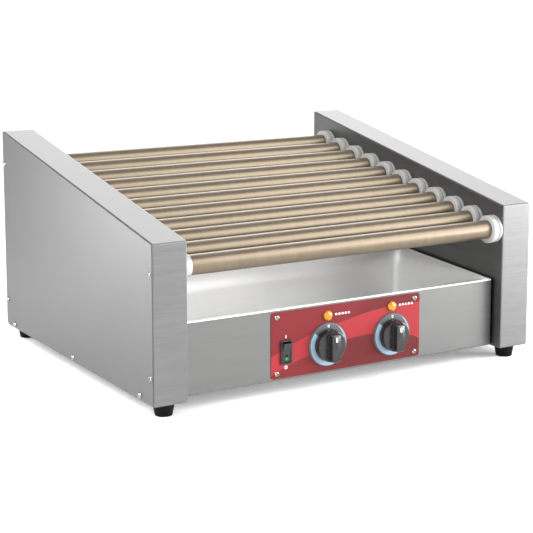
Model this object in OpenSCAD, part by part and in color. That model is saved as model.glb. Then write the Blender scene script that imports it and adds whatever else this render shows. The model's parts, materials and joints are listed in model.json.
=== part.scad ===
// Countertop hot dog roller grill with a slanted bed of eleven heated rollers.
// Built with the side housings' front face at Y = 0 and the feet on Z = 0, then moved so that
// the origin is at the middle of the footprint. +X is the grill's right, +Y its rear.

/* [Housing] */
// Width across the two side covers
overall_w = 581; // [575:1:600]
// Width of each side housing
side_w = 47.5; // [47:0.5:50]
// Depth of the side housings
housing_d = 478; // [476:1:490]
// Height of a side housing at its front edge, without its feet
front_h = 200; // [198:1:203]
// Height of a side housing at its rear edge, without its feet
rear_h = 285.5; // [283:0.5:289]
// Thickness of the sheet steel
sheet = 1.2; // [1:0.1:1.4]
// Width of the lip that each side cover is screwed to
lip_w = 13; // [12:0.5:15]
// Gap between a side cover's edge and the housing's edge
cover_gap = 1; // [0.5:0.1:1.5]
// Radius of the lower rear corner of the side housings
corner_r = 9; // [6:1:12]
// Distance of the cover screws from the cover's edge
screw_inset = 6.5; // [6:0.5:7]

/* [Feet] */
// Height of the rubber feet
foot_h = 17; // [16:0.5:18]
// Radius of a foot where it meets the housing
foot_top_r = 14; // [12:0.5:16]
// Radius of a foot where it meets the counter
foot_bottom_r = 11; // [9:0.5:12]
// Distance of the feet from the housing's front and rear faces
foot_inset = 20; // [16:1:24]

/* [Rollers] */
// Outer radius of a roller tube
roller_r = 12.7; // [12.5:0.1:12.7]
// Wall of a roller tube
roller_wall = 1.5; // [1.2:0.1:1.6]
// Distance from one roller axis to the next
roller_pitch = 42.1; // [41.5:0.1:42.1]
// Distance of the first roller's axis behind the front face
first_y = 18.5; // [18.5:0.1:19.5]
// Depth of the roller axes below the housing's top edge, measured straight down
axis_drop = 37.6; // [36:0.1:39]
// Outer radius of the right bushings' rings
bush_r = 19; // [18:0.1:19.5]
// How far the right bushings stand out of the housing wall
bush_len = 14; // [13:0.5:16]
// Outer radius of the left bushings' sleeves
sleeve_r = 14; // [13.8:0.1:15]
// How far the left bushings stand out of the housing wall
sleeve_len = 10.2; // [9:0.1:12]
// Radial running clearance of the round joints
run_gap = 0.05; // [0.03:0.01:0.1]

/* [Front panel] */
// Distance of the front panel's face behind the housing's front face
panel_y = 17; // [16:0.5:18]
// Height of the front panel's lower edge above the counter
panel_bottom = 19; // [18.5:0.5:20]
// Height of the front panel's upper edge above the counter
panel_top = 110.3; // [110:0.1:111]
// Gap between the front panel's ends and the housing walls
panel_gap = 3; // [2.5:0.1:4]
// Width of the control plate
plate_w = 232; // [228:1:236]
// Height of the control plate
plate_h = 87; // [85:1:88]
// Height of the control plate's middle above the counter
plate_z = 65; // [64:0.5:65]
// Place of the front and rear heat dials along X
dial_x = [-31, 70];
// Height of the dials above the counter
dial_z = 57; // [55:0.5:58]
// Outer radius of a dial ring
dial_r = 29; // [28:0.5:30]
// Height of a knob above its dial ring
knob_h = 20; // [18:1:24]
// Height of the indicator lamps above the counter
lamp_z = 95; // [94:0.5:97]
// Radius of an indicator lamp
lamp_r = 6.5; // [6:0.5:7]
// Place of the power switch along X
switch_x = -94; // [-97:0.5:-92]
// Tilt of the power switch's paddle to each side of its middle
switch_tilt = 9; // [7:1:9]

/* [Drip tray] */
// Slope of the tray's floor and of its travel, in degrees
tray_slope = 17; // [16:0.5:17]
// Rise of the tray's rim from front to rear, in degrees
rim_slope = 3; // [0:0.5:3]
// Half of the tray's width
tray_half_w = 237.8; // [237:0.1:238]
// Distance of the tray's rear face behind the housing's front face
tray_rear = 240; // [236:1:240]
// Thickness of the tray's sheet
tray_t = 1; // [0.8:0.1:1.2]

/* [Drive] */
// Pitch of the drive chain
chain_pitch = 6.35; // [6.35:0.01:6.35]
// Number of teeth on each sprocket
teeth = 11; // [11:1:11]
// Place of the gear motor's shaft: distance behind the front face, height above the counter
motor_yz = [330, 105];

/* [Hidden] */
$fn = 64;
roller_count = 11;
ROLLERS = [for (i = [1:roller_count]) i];
function two_digits(i) = i < 10 ? str("0", i) : str(i);

steel = [0.78, 0.78, 0.79];
dark_steel = [0.5, 0.5, 0.52];
black = [0.1, 0.1, 0.1];

wall_x = overall_w / 2 - side_w;
box_w = side_w - sheet;
slope = atan((rear_h - front_h) / housing_d);
first_z = foot_h + front_h + first_y * tan(slope) - axis_drop;
function axis_y(i) = first_y + (i - 1) * roller_pitch * cos(slope);
function axis_z(i) = first_z + (i - 1) * roller_pitch * sin(slope);
function bed_z(y) = first_z + (y - first_y) * tan(slope);

panel_half_w = wall_x - panel_gap;
plate_y = panel_y - 1;
dial_t = 2.5;
ring_y = plate_y - dial_t;
knob_gap = 0.3;
front_most = ring_y - knob_gap - knob_h;
mid_depth = (front_most + housing_d) / 2;
plate_screws = [for (x = [-107.5, 107.5], z = [-36.5, 36.5]) [x, plate_z + z]];
bottom_screw_places = [[97, 24], [212, 24], [-95, 60], [-211, 60]];
tray_stop = [95, 150];
hem = 6;

rear_y = 464;
rear_top = 252;
rear_screws = [for (x = [-225, 225], z = [60, 150, 235]) [x, z]];
gland_xz = [-205, 62];
gland_bore_r = 4.1;

switch_z = 55.5;
switch_pivot = 2;
switch_slot = [12.4, 27.8];

plug_len = 13.5;
tube_end = wall_x + 9;
sprocket_x = wall_x + 15.5;
sprocket_t = 2.8;
sprocket_pr = chain_pitch / sin(180 / teeth) / 2;
sprocket_or = chain_pitch * (0.6 + 1 / tan(180 / teeth)) / 2;
chain_roller_r = 1.65;
chain_half_h = 2.9;
shaft_r = 4;
element_r = 4;
rail_x = wall_x + 24;

// An arc's points, from one angle to another
function arc(c, r, a0, a1, steps = 8) =
    [for (k = [0:steps]) let (a = a0 + (a1 - a0) * k / steps) [c[0] + r * cos(a), c[1] + r * sin(a)]];
// A rectangle with round corners, w wide and h high, about the origin
function round_rect(w, h, r) = concat(
    arc([w / 2 - r, h / 2 - r], r, 0, 90), arc([r - w / 2, h / 2 - r], r, 90, 180),
    arc([r - w / 2, r - h / 2], r, 180, 270), arc([w / 2 - r, r - h / 2], r, 270, 360));
// The side housing's outline in Y and Z, brought in by inset all round
function side_outline(inset) =
    let (r = max(corner_r - inset, 1), back = housing_d - inset, low = foot_h + inset,
         drop = inset / cos(slope))
    concat([[inset, low]], arc([back - r, low + r], r, -90, 0, 6),
        [[back, foot_h + rear_h - drop - inset * tan(slope)],
         [inset, foot_h + front_h - drop + inset * tan(slope)]]);
// Height of the tray floor's underside at a distance behind the front face
function floor_z(y) = panel_top + 0.3 - (y - panel_y - 2 * sheet) * tan(tray_slope);

// A flat shape drawn in Y and Z, made length thick along X
module along_x(x0, length) {
    translate([x0, 0, 0]) rotate([90, 0, 90]) linear_extrude(length) children();
}
// A flat shape drawn in X and Z, made length thick along Y
module along_y(y0, length) {
    translate([0, y0 + length, 0]) rotate([90, 0, 0]) linear_extrude(length) children();
}
module rod_x(x0, length, r, y, z) {
    translate([x0, y, z]) rotate([0, 90, 0]) cylinder(r = r, h = length);
}
// Turns a piece so that its own +Z points out of the front panel
module on_panel(x, z, y = plate_y) {
    translate([x, y, z]) rotate([90, 0, 0]) children();
}
module both_sides() {
    children();
    mirror([1, 0, 0]) children();
}
// A cross-slotted pan head above Z = 0 with its shank below
module pan_screw(head_r, head_h, shank_r, shank_len) {
    cap = head_h * 0.65;
    ball = (head_r * head_r + cap * cap) / (2 * cap);
    difference() {
        intersection() {
            cylinder(r = head_r, h = head_h);
            translate([0, 0, head_h - ball]) sphere(ball);
        }
        for (a = [0, 90])
            rotate(a) translate([-head_r * 0.55, -0.4, head_h * 0.45])
                cube([head_r * 1.1, 0.8, head_h]);
    }
    translate([0, 0, -shank_len]) cylinder(r = shank_r, h = shank_len);
}

// ---- Side housings -------------------------------------------------------------------------

cover_screw_places = [
    [housing_d - screw_inset, 255.5], [housing_d - screw_inset, 56],
    [446, foot_h + screw_inset], [239, foot_h + screw_inset], [36.5, foot_h + screw_inset],
    [screw_inset, 52], [screw_inset, 179.5]];

module side_frame() {
    difference() {
        union() {
            difference() {
                along_x(wall_x, box_w) polygon(side_outline(0));
                along_x(wall_x + sheet, box_w) polygon(side_outline(sheet));
            }
            along_x(wall_x + box_w - sheet, sheet) difference() {
                polygon(side_outline(0));
                polygon(side_outline(lip_w));
            }
        }
        for (i = ROLLERS) rod_x(wall_x - 1, 4, 15.6, axis_y(i), axis_z(i));
        for (p = cover_screw_places) rod_x(wall_x + box_w - 3, 4, 1.8, p[0], p[1]);
        rod_x(wall_x - 1, 4, 1.6, tray_stop[0], tray_stop[1]);
        for (y = [foot_inset, housing_d - foot_inset])
            translate([wall_x + side_w / 2, y, foot_h - 1]) cylinder(r = 2.6, h = 4);
    }
}

module left_side_frame() {
    color(steel) mirror([1, 0, 0]) difference() {
        side_frame();
        rod_x(wall_x - 1, 4, 9, 430, 45);
    }
}

module right_side_frame() {
    color(steel) difference() {
        side_frame();
        rod_x(wall_x - 1, 4, 8, motor_yz[0], motor_yz[1]);
    }
}

module side_cover() {
    difference() {
        along_x(wall_x + box_w, sheet) polygon(side_outline(cover_gap));
        for (p = cover_screw_places) rod_x(wall_x + box_w - 1, 4, 2.1, p[0], p[1]);
    }
}

module left_side_cover() {
    color(steel) mirror([1, 0, 0]) side_cover();
}

module right_side_cover() {
    color(steel) side_cover();
}

module cover_screws() {
    color(steel) both_sides() for (p = cover_screw_places)
        translate([overall_w / 2, p[0], p[1]]) rotate([0, 90, 0]) pan_screw(3.8, 2.4, 1.7, 8);
}

foot_places = [for (x = [-1, 1], y = [foot_inset, housing_d - foot_inset])
    [x * (wall_x + side_w / 2), y, 0]];

module rubber_feet() {
    color(black) for (p = foot_places) translate(p) difference() {
        cylinder(r1 = foot_bottom_r, r2 = foot_top_r, h = foot_h);
        translate([0, 0, -1]) cylinder(r = 5.5, h = 8);
        cylinder(r = 2.6, h = foot_h + 1);
    }
}

module foot_screws() {
    color(dark_steel) for (p = foot_places) translate(p + [0, 0, 7]) rotate([180, 0, 0])
        pan_screw(4.6, 3, 2.5, 16);
}

// ---- Centre body ---------------------------------------------------------------------------

module panel_holes(grow = 0) {
    for (x = dial_x) translate([x, dial_z]) circle(5.5 + grow);
    for (x = dial_x) translate([x, lamp_z]) circle(5 + grow);
    for (p = plate_screws) translate(p) circle(1.8);
    translate([switch_x, switch_z]) square([14.4, 29.4], center = true);
}

// The face, its hemmed top edge, its two ends and its bottom flange
module front_panel() {
    face_h = panel_top - panel_bottom;
    color(steel) difference() {
        union() {
            along_y(panel_y, sheet) difference() {
                translate([-panel_half_w, panel_bottom]) square([2 * panel_half_w, face_h]);
                panel_holes();
            }
            translate([-panel_half_w, panel_y + sheet, panel_top - hem])
                cube([2 * panel_half_w, sheet, hem]);
            both_sides() translate([panel_half_w - sheet, panel_y, panel_bottom + 2 * sheet])
                cube([sheet, 14, face_h - hem - 2 * sheet]);
            translate([-panel_half_w, panel_y, panel_bottom])
                cube([2 * panel_half_w, 22, sheet]);
        }
        for (p = bottom_screw_places) translate([p[0], p[1], panel_bottom - 1])
            cylinder(r = 1.8, h = 4);
    }
}

// A bank of punched slots in X and Z or in X and Y
module slot_bank(columns, rows, length, gap) {
    for (c = [0:columns - 1], r = [0:rows - 1])
        translate([(c - (columns - 1) / 2) * (length + 2 * gap), (r - (rows - 1) / 2) * gap])
            square([length, 4], center = true);
}

module base_pan() {
    floor_h = panel_bottom + sheet;
    half = wall_x - 0.5;
    color(steel) difference() {
        union() {
            translate([-half, panel_y + 2 * sheet, floor_h])
                cube([2 * half, rear_y - panel_y - 2 * sheet, sheet]);
            both_sides() translate([half - sheet, 30, floor_h]) cube([sheet, 420, 12]);
        }
        translate([0, 360, floor_h - 1]) linear_extrude(4) slot_bank(4, 6, 60, 11);
        for (p = bottom_screw_places) translate([p[0], p[1], floor_h - 1]) cylinder(r = 1.8, h = 4);
    }
}

module rear_panel() {
    half = wall_x - 0.5;
    color(steel) difference() {
        union() {
            along_y(rear_y, sheet) translate([-half, panel_bottom])
                square([2 * half, rear_top - panel_bottom]);
            translate([-half, rear_y - 18, panel_bottom]) cube([2 * half, 19, sheet]);
            translate([-half, rear_y - 8, rear_top - sheet]) cube([2 * half, 9, sheet]);
            both_sides() translate([half - sheet, rear_y - 11, panel_bottom + 2 * sheet])
                cube([sheet, 12, rear_top - panel_bottom - 3 * sheet]);
        }
        along_y(rear_y - 1, 4) {
            translate([60, 150]) slot_bank(4, 8, 50, 10);
            translate(gland_xz) circle(8);
            for (p = rear_screws) translate(p) circle(1.8);
        }
    }
}

// Screws under the front edge, on the rear panel, and the tray stops on the inner walls
module panel_screws() {
    color(steel) {
        for (p = bottom_screw_places)
            translate([p[0], p[1], p[1] < 40 ? panel_bottom : panel_bottom + sheet])
                rotate([180, 0, 0]) pan_screw(3.4, 2.2, 1.7, 6);
        for (p = rear_screws) translate([p[0], rear_y + sheet, p[1]]) rotate([-90, 0, 0])
            pan_screw(3.4, 2.2, 1.7, 6);
        both_sides() translate([wall_x, tray_stop[0], tray_stop[1]]) rotate([0, -90, 0])
            pan_screw(3, 2, 1.5, 4);
    }
}

// A bent sheet: upright behind the tray, then sloping to the rear under the rollers
module grease_baffle() {
    half = wall_x - 2;
    under = 22.4;
    front = tray_rear + 2;
    top_front = bed_z(front) - under;
    top_rear = bed_z(rear_y) - under;
    base = panel_bottom + 2 * sheet;
    color(steel) difference() {
        along_x(-half, 2 * half) polygon([
            [front, base], [front + sheet, base], [front + sheet, top_front - sheet],
            [rear_y - sheet, top_rear - 2 * sheet], [rear_y - sheet, top_rear - 16],
            [rear_y, top_rear - 16], [rear_y, top_rear], [front, top_front]]);
        along_y(rear_y - 3, 4) for (p = rear_screws) translate(p) circle(1.8);
    }
}

// ---- Drip tray -----------------------------------------------------------------------------

lip_front = panel_y - 1.4;

module drip_tray() {
    t = tray_t / cos(tray_slope);
    rim = floor_z(lip_front) + t;
    rear_rim = rim + (tray_rear - lip_front) * tan(rim_slope);
    color(steel) {
        along_x(-tray_half_w, 2 * tray_half_w) polygon([
            [lip_front, floor_z(lip_front) - 2.4], [lip_front + tray_t, floor_z(lip_front) - 2.4],
            [lip_front + tray_t, floor_z(lip_front + tray_t)], [tray_rear, floor_z(tray_rear)],
            [tray_rear, rear_rim], [tray_rear - tray_t, rear_rim],
            [tray_rear - tray_t, floor_z(tray_rear - tray_t) + t], [lip_front, rim]]);
        both_sides() along_x(tray_half_w - tray_t, tray_t) polygon([
            [lip_front, rim], [tray_rear, rear_rim], [tray_rear, floor_z(tray_rear)],
            [lip_front + tray_t, floor_z(lip_front + tray_t)], [lip_front, rim - t]]);
    }
}

// Angle strips on the inner walls that the tray's floor slides on
module tray_rails() {
    front = 32;
    rear = tray_rear - 4;
    under = 0.3;
    drop = under + sheet / cos(tray_slope);
    color(steel) both_sides() {
        along_x(wall_x - 18, 18) polygon([
            [front, floor_z(front) - under], [rear, floor_z(rear) - under],
            [rear, floor_z(rear) - drop], [front, floor_z(front) - drop]]);
        along_x(wall_x - sheet, sheet) polygon([
            [front, floor_z(front) - drop], [rear, floor_z(rear) - drop],
            [rear, floor_z(rear) + 12], [front + 30, floor_z(front + 30) + 12],
            [front, floor_z(front) + 3]]);
    }
}

// ---- Controls ------------------------------------------------------------------------------

module control_plate() {
    color([0.66, 0.24, 0.26]) along_y(plate_y, 1) difference() {
        translate([0, plate_z]) polygon(round_rect(plate_w, plate_h, 4));
        panel_holes();
    }
}

module control_plate_screws() {
    color(steel) for (p = plate_screws) on_panel(p[0], p[1]) pan_screw(3.6, 2.4, 1.7, 7);
}

module dial_ring(x) {
    color([0.28, 0.3, 0.31]) on_panel(x, dial_z) difference() {
        cylinder(r1 = dial_r, r2 = dial_r - 1.5, h = dial_t);
        translate([0, 0, -1]) cylinder(r = 8, h = dial_t + 2);
    }
}

module front_dial_ring() { dial_ring(dial_x[0]); }
module rear_dial_ring() { dial_ring(dial_x[1]); }

// The spindle's end, round with one flat
module spindle_end(length) {
    linear_extrude(length) difference() {
        circle(3);
        translate([-4, 2]) square([8, 4]);
    }
}

// A round base with a straight bar grip across it
module knob(x) {
    base_h = 10;
    color(black) on_panel(x, dial_z, ring_y - knob_gap) difference() {
        union() {
            cylinder(r1 = 21.6, r2 = 20.6, h = base_h);
            hull() {
                translate([-9, -20.5, base_h - 3]) cube([18, 41, 1]);
                translate([-6.5, -19, knob_h - 1]) cube([13, 36, 1]);
            }
        }
        translate([0, 0, -1]) cylinder(r = 10, h = 4);
        translate([0, 0, 2]) spindle_end(14);
    }
}

module front_knob() { knob(dial_x[0]); }
module rear_knob() { knob(dial_x[1]); }

module spindle(x) {
    color(dark_steel) on_panel(x, dial_z, ring_y - knob_gap) {
        translate([0, 0, 2]) spindle_end(12);
        translate([0, 0, -26]) cylinder(r = 3, h = 28);
    }
}

module front_spindle() { spindle(dial_x[0]); }
module rear_spindle() { spindle(dial_x[1]); }

module indicator_lamp(x) {
    dome = 3.6;
    ball = (lamp_r * lamp_r + dome * dome) / (2 * dome);
    color([0.95, 0.62, 0.1]) on_panel(x, lamp_z) {
        cylinder(r = lamp_r, h = 1);
        translate([0, 0, 1]) intersection() {
            cylinder(r = lamp_r, h = dome);
            translate([0, 0, dome - ball]) sphere(ball);
        }
        translate([0, 0, -14]) cylinder(r = 4.8, h = 14);
    }
}

module front_indicator_lamp() { indicator_lamp(dial_x[0]); }
module rear_indicator_lamp() { indicator_lamp(dial_x[1]); }

// The heat control behind the panel, with the threaded neck that its spindle turns in
module thermostat(x) {
    behind = panel_y + sheet;
    color(dark_steel) difference() {
        union() {
            translate([x - 19, behind, dial_z - 17]) cube([38, 26, 34]);
            for (k = [-1, 0, 1]) translate([x + k * 11 - 3.1, behind + 26, dial_z - 4])
                cube([6.2, 8, 0.8]);
            on_panel(x, dial_z, behind) cylinder(r = 5, h = 3);
        }
        on_panel(x, dial_z, behind) translate([0, 0, -23]) cylinder(r = 3 + run_gap, h = 30);
    }
}

module front_thermostat() { thermostat(dial_x[0]); }
module rear_thermostat() { thermostat(dial_x[1]); }

module rocker_bezel() {
    color(black) on_panel(switch_x, switch_z) difference() {
        union() {
            linear_extrude(2.4) polygon(round_rect(16.4, 31.4, 1));
            translate([-7, -14.5, -24]) cube([14, 29, 24]);
            for (k = [-9, 0, 9]) translate([-3.1, k - 0.4, -32]) cube([6.2, 0.8, 9]);
        }
        translate([-switch_slot[0] / 2, -switch_slot[1] / 2, -16])
            cube([switch_slot[0], switch_slot[1], 20]);
        rotate([0, 90, 0]) translate([switch_pivot, 0, -6.8]) cylinder(r = 1.2 + run_gap, h = 13.6);
    }
}

// Places a piece on the paddle, which rests tilted with its lower end pressed in
module on_paddle() {
    on_panel(switch_x, switch_z) translate([0, 0, -switch_pivot]) rotate([switch_tilt, 0, 0])
        translate([0, 0, switch_pivot]) children();
}

lens_y = -8;
lens_z = 1.9 + 1.7 * 8 / 12.6;

module rocker_paddle() {
    color(black) on_paddle() difference() {
        union() {
            translate([-5.8, 0, 0]) rotate([90, 0, 90]) linear_extrude(11.6) polygon([
                [-12.6, 3.6], [0, 1.9], [12.6, 3.6], [12.6, -3], [5, -9], [-5, -9], [-12.6, -3]]);
            rotate([0, 90, 0]) translate([switch_pivot, 0, -6.6]) cylinder(r = 1.2, h = 13.2);
        }
        translate([0, lens_y, lens_z - 2]) cylinder(r = 2, h = 4);
    }
}

module rocker_lens() {
    color([0.1, 0.6, 0.35]) on_paddle() translate([0, lens_y, lens_z - 2]) cylinder(r = 2, h = 2.4);
}

// ---- Rollers -------------------------------------------------------------------------------

module roller_tube(i) {
    color([0.75, 0.67, 0.53]) difference() {
        rod_x(-tube_end, 2 * tube_end, roller_r, axis_y(i), axis_z(i));
        rod_x(-tube_end - 1, 2 * tube_end + 2, roller_r - roller_wall, axis_y(i), axis_z(i));
    }
}

// The part of a bushing that snaps into the wall
module bushing_hub(i) {
    rod_x(wall_x - 1, 5, 15.5, axis_y(i), axis_z(i));
    rod_x(wall_x + sheet + 0.1, 2.6, 16.4, axis_y(i), axis_z(i));
}
module bushing_bore(i) {
    rod_x(wall_x - bush_len - 1, bush_len + 8, roller_r + run_gap, axis_y(i), axis_z(i));
}

// Two rings with a groove between them
module ring_bushing(i) {
    difference() {
        union() {
            rod_x(wall_x - bush_len, 8.5, bush_r, axis_y(i), axis_z(i));
            rod_x(wall_x - bush_len, bush_len, bush_r - 2, axis_y(i), axis_z(i));
            rod_x(wall_x - bush_len + 9.7, bush_len - 9.7, bush_r, axis_y(i), axis_z(i));
            bushing_hub(i);
        }
        bushing_bore(i);
    }
}

// A thin sleeve with a low flange on the wall
module sleeve_bushing(i) {
    difference() {
        union() {
            rod_x(wall_x - sleeve_len, sleeve_len, sleeve_r, axis_y(i), axis_z(i));
            rod_x(wall_x - 1.5, 1.5, 17, axis_y(i), axis_z(i));
            bushing_hub(i);
        }
        bushing_bore(i);
    }
}

module roller_bushings() {
    color([0.96, 0.96, 0.95]) for (i = ROLLERS) {
        ring_bushing(i);
        mirror([1, 0, 0]) sleeve_bushing(i);
    }
}

// The toothed disc, in its own X and Y, with the teeth turned to meet the chain
module tooth_disc(phase) {
    rotate(phase) difference() {
        circle(sprocket_or);
        for (k = [0:teeth - 1]) rotate(k * 360 / teeth) {
            translate([sprocket_pr, 0]) circle(chain_roller_r + 0.1);
            polygon([[sprocket_pr, -1.7], [sprocket_pr + 3, -2.4], [sprocket_pr + 3, 2.4],
                [sprocket_pr, 1.7]]);
        }
    }
}

// The part of a turn by which a sprocket lags the first, from its place along the chain
function chain_phase(i) = -(i - 1) * roller_pitch / chain_pitch * 360 / teeth;

// A plug pressed into the tube, a narrow neck and the toothed disc, bored for the element
module roller_sprocket(i) {
    color(dark_steel) difference() {
        union() {
            rod_x(tube_end - plug_len, plug_len, roller_r - roller_wall, axis_y(i), axis_z(i));
            rod_x(tube_end, 1.5, roller_r, axis_y(i), axis_z(i));
            rod_x(tube_end, sprocket_x - tube_end, 8, axis_y(i), axis_z(i));
            translate([0, axis_y(i), axis_z(i)]) along_x(sprocket_x - sprocket_t / 2, sprocket_t)
                tooth_disc(chain_phase(i));
        }
        rod_x(tube_end - plug_len - 1, 50, 5.5, axis_y(i), axis_z(i));
    }
}

module heating_elements() {
    color([0.55, 0.5, 0.47]) for (i = ROLLERS) {
        rod_x(-rail_x - 6, 2 * rail_x + 12, element_r, axis_y(i), axis_z(i));
        both_sides() rod_x(rail_x + 6, 8, 1.5, axis_y(i), axis_z(i));
    }
}

// A strip hung from the housing's top sheet on each side, which the elements' ends rest in
module element_rails() {
    rise = axis_drop - sheet / cos(slope);
    y0 = 5;
    y1 = housing_d - 12;
    color(dark_steel) both_sides() difference() {
        along_x(rail_x, 1.5) polygon([
            [y0, bed_z(y0) - 9], [y1, bed_z(y1) - 9], [y1, bed_z(y1) + rise], [y0, bed_z(y0) + rise]]);
        for (i = ROLLERS) rod_x(rail_x - 1, 4, element_r + 0.1, axis_y(i), axis_z(i));
    }
}

// ---- Drive ---------------------------------------------------------------------------------

module gear_motor() {
    y = motor_yz[0];
    z = motor_yz[1];
    color([0.3, 0.32, 0.35]) difference() {
        union() {
            translate([wall_x - 42, y - 34, z - 40]) cube([42, 68, 74]);
            translate([wall_x - 4, y - 48, z - 30]) cube([4, 96, 54]);
            rod_x(wall_x - 110, 70, 31, y, z - 4);
            rod_x(wall_x - 118, 10, 26, y, z - 4);
        }
        rod_x(wall_x - 22, 30, shaft_r + run_gap, y, z);
    }
}

module drive_shaft() {
    color(dark_steel) rod_x(wall_x - 20, sprocket_x + 8 - wall_x + 20, shaft_r, motor_yz[0], motor_yz[1]);
}

module motor_sprocket() {
    color(dark_steel) difference() {
        union() {
            translate([0, motor_yz[0], motor_yz[1]])
                along_x(sprocket_x - sprocket_t / 2, sprocket_t) tooth_disc(0);
            rod_x(sprocket_x, 8, 7.5, motor_yz[0], motor_yz[1]);
        }
        rod_x(sprocket_x - 5, 20, shaft_r, motor_yz[0], motor_yz[1]);
    }
}

// The chain runs over all the roller sprockets and down round the motor's
chain_corners = [[first_y, first_z], motor_yz, [axis_y(roller_count), axis_z(roller_count)]];
function heading(k) = let (d = chain_corners[(k + 1) % 3] - chain_corners[k]) atan2(d[1], d[0]);
function chain_loop(r) = [for (k = [0:2])
    let (a0 = heading((k + 2) % 3) - 90, turn = heading(k) - heading((k + 2) % 3),
         a1 = a0 + (turn < 0 ? turn + 360 : turn))
    each arc(chain_corners[k], r, a0, a1, 12)];
// Centres of count chain pins spread along the run that leaves corner k
function run_pins(k, count) =
    let (a = chain_corners[k], b = chain_corners[(k + 1) % 3], out = heading(k) - 90,
         edge = sprocket_pr * [cos(out), sin(out)])
    [for (n = [0:count - 1]) a + (b - a) * (n + 0.5) / count + edge];

// Two bands of side plates, tied by a pin between each pair of sprockets
module drive_chain() {
    inner = 1.75;
    outer = 2.6;
    color([0.35, 0.33, 0.3]) {
        for (x = [-outer, inner]) along_x(sprocket_x + x, outer - inner) difference() {
            polygon(chain_loop(sprocket_pr + chain_half_h));
            polygon(chain_loop(sprocket_pr - chain_half_h));
        }
        for (p = concat(run_pins(0, 8), run_pins(1, 4), run_pins(2, roller_count - 1)))
            rod_x(sprocket_x - outer, 2 * outer, chain_roller_r, p[0], p[1]);
    }
}

module terminal_block() {
    color([0.85, 0.83, 0.76]) mirror([1, 0, 0]) difference() {
        translate([wall_x + sheet, 370, 60]) cube([15, 72, 24]);
        for (k = [0:5]) rod_x(wall_x + 10, 10, 3, 379 + k * 11, 66);
        for (k = [0:5]) rod_x(wall_x + 10, 10, 3, 379 + k * 11, 78);
    }
}

// A hexagon with a domed nut outside the rear panel, and a threaded neck with its locknut inside
module cable_gland() {
    behind = rear_y + sheet;
    color(black) translate([gland_xz[0], behind, gland_xz[1]]) rotate([-90, 0, 0]) difference() {
        union() {
            cylinder(r = 11, h = 4.5, $fn = 6);
            translate([0, 0, 4.5]) cylinder(r1 = 10, r2 = 7.5, h = 7.5);
            translate([0, 0, -14]) cylinder(r = 7.8, h = 14);
            translate([0, 0, -sheet - 5]) cylinder(r = 11, h = 5, $fn = 6);
        }
        translate([0, 0, -20]) cylinder(r = gland_bore_r, h = 40);
    }
}

translate([0, -mid_depth, 0]) {
    left_side_frame();
    right_side_frame();
    left_side_cover();
    right_side_cover();
    cover_screws();
    front_panel();
    base_pan();
    rear_panel();
    panel_screws();
    grease_baffle();
    drip_tray();
    tray_rails();
    control_plate();
    control_plate_screws();
    front_dial_ring();
    rear_dial_ring();
    front_knob();
    rear_knob();
    front_spindle();
    rear_spindle();
    front_indicator_lamp();
    rear_indicator_lamp();
    front_thermostat();
    rear_thermostat();
    rocker_bezel();
    rocker_paddle();
    rocker_lens();
    roller_bushings();
    heating_elements();
    element_rails();
    gear_motor();
    drive_shaft();
    motor_sprocket();
    drive_chain();
    terminal_block();
    cable_gland();
    rubber_feet();
    foot_screws();
    for (i = ROLLERS) {
        roller_tube(i);
        roller_sprocket(i);
    }
}
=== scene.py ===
# %% [markdown]
# # A countertop hot dog roller grill
# Eleven coated tubes turn between two side housings of brushed sheet steel. Under them are a
# drip tray and a front panel with a red control plate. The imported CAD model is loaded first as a
# fixed frame, so that every piece made here goes where the design says, in metres.

# %% Load the frame
import json
import math

import bmesh
import bpy
from mathutils import Matrix, Vector


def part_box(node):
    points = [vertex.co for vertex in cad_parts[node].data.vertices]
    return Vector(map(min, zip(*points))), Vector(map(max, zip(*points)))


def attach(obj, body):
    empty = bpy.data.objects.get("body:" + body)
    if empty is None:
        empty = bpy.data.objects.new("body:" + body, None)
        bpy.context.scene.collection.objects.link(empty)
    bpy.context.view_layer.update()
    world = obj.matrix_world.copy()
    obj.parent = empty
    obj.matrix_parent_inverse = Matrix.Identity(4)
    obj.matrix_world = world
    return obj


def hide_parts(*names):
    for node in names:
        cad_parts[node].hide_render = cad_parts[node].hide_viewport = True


MM = 0.001
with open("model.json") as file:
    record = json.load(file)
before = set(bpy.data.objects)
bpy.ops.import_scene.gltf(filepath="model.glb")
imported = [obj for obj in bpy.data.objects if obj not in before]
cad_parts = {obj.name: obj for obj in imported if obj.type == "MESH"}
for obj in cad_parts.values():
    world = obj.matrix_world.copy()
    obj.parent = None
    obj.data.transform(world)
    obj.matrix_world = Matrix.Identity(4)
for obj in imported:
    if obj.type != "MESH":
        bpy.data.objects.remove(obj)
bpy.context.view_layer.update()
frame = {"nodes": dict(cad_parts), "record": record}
nodes = frame["nodes"]
record = frame["record"]
body_of = {name: body for body, names in record["behaviour"]["bodies"].items() for name in names}
slot_of = {part["node"]: part["material_slot"] for part in record["subparts"]}

# %% [markdown]
# ## Camera
# The grill is seen from its left, a little above, with a long lens, so that its far side is
# only slightly smaller than its near side. A small shift keeps its uprights nearly parallel.

# %% The camera
yaw = math.radians(30.864)
pitch = math.radians(8.961)
camera = bpy.data.objects.new("camera", bpy.data.cameras.new("camera"))
camera.data.sensor_width = 36
camera.data.lens = 101.18
camera.data.shift_y = -0.15
camera.location = (-1.06364, -1.79386, 0.55994)
camera.rotation_euler = (math.pi / 2 - pitch, 0, -yaw)
bpy.context.scene.collection.objects.link(camera)
bpy.context.scene.camera = camera

# %% [markdown]
# ## Helpers for materials
# A hex colour is what a paint chart or a screen shows, and the shader wants linear light, so one
# function converts it. Another adds a node with its settings and its links in one call.

# %% Colour and node helpers
def srgb(code):
    channels = [int(code[i:i + 2], 16) / 255 for i in (1, 3, 5)]
    return [c / 12.92 if c <= 0.04045 else ((c + 0.055) / 1.055) ** 2.4 for c in channels] + [1]


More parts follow.
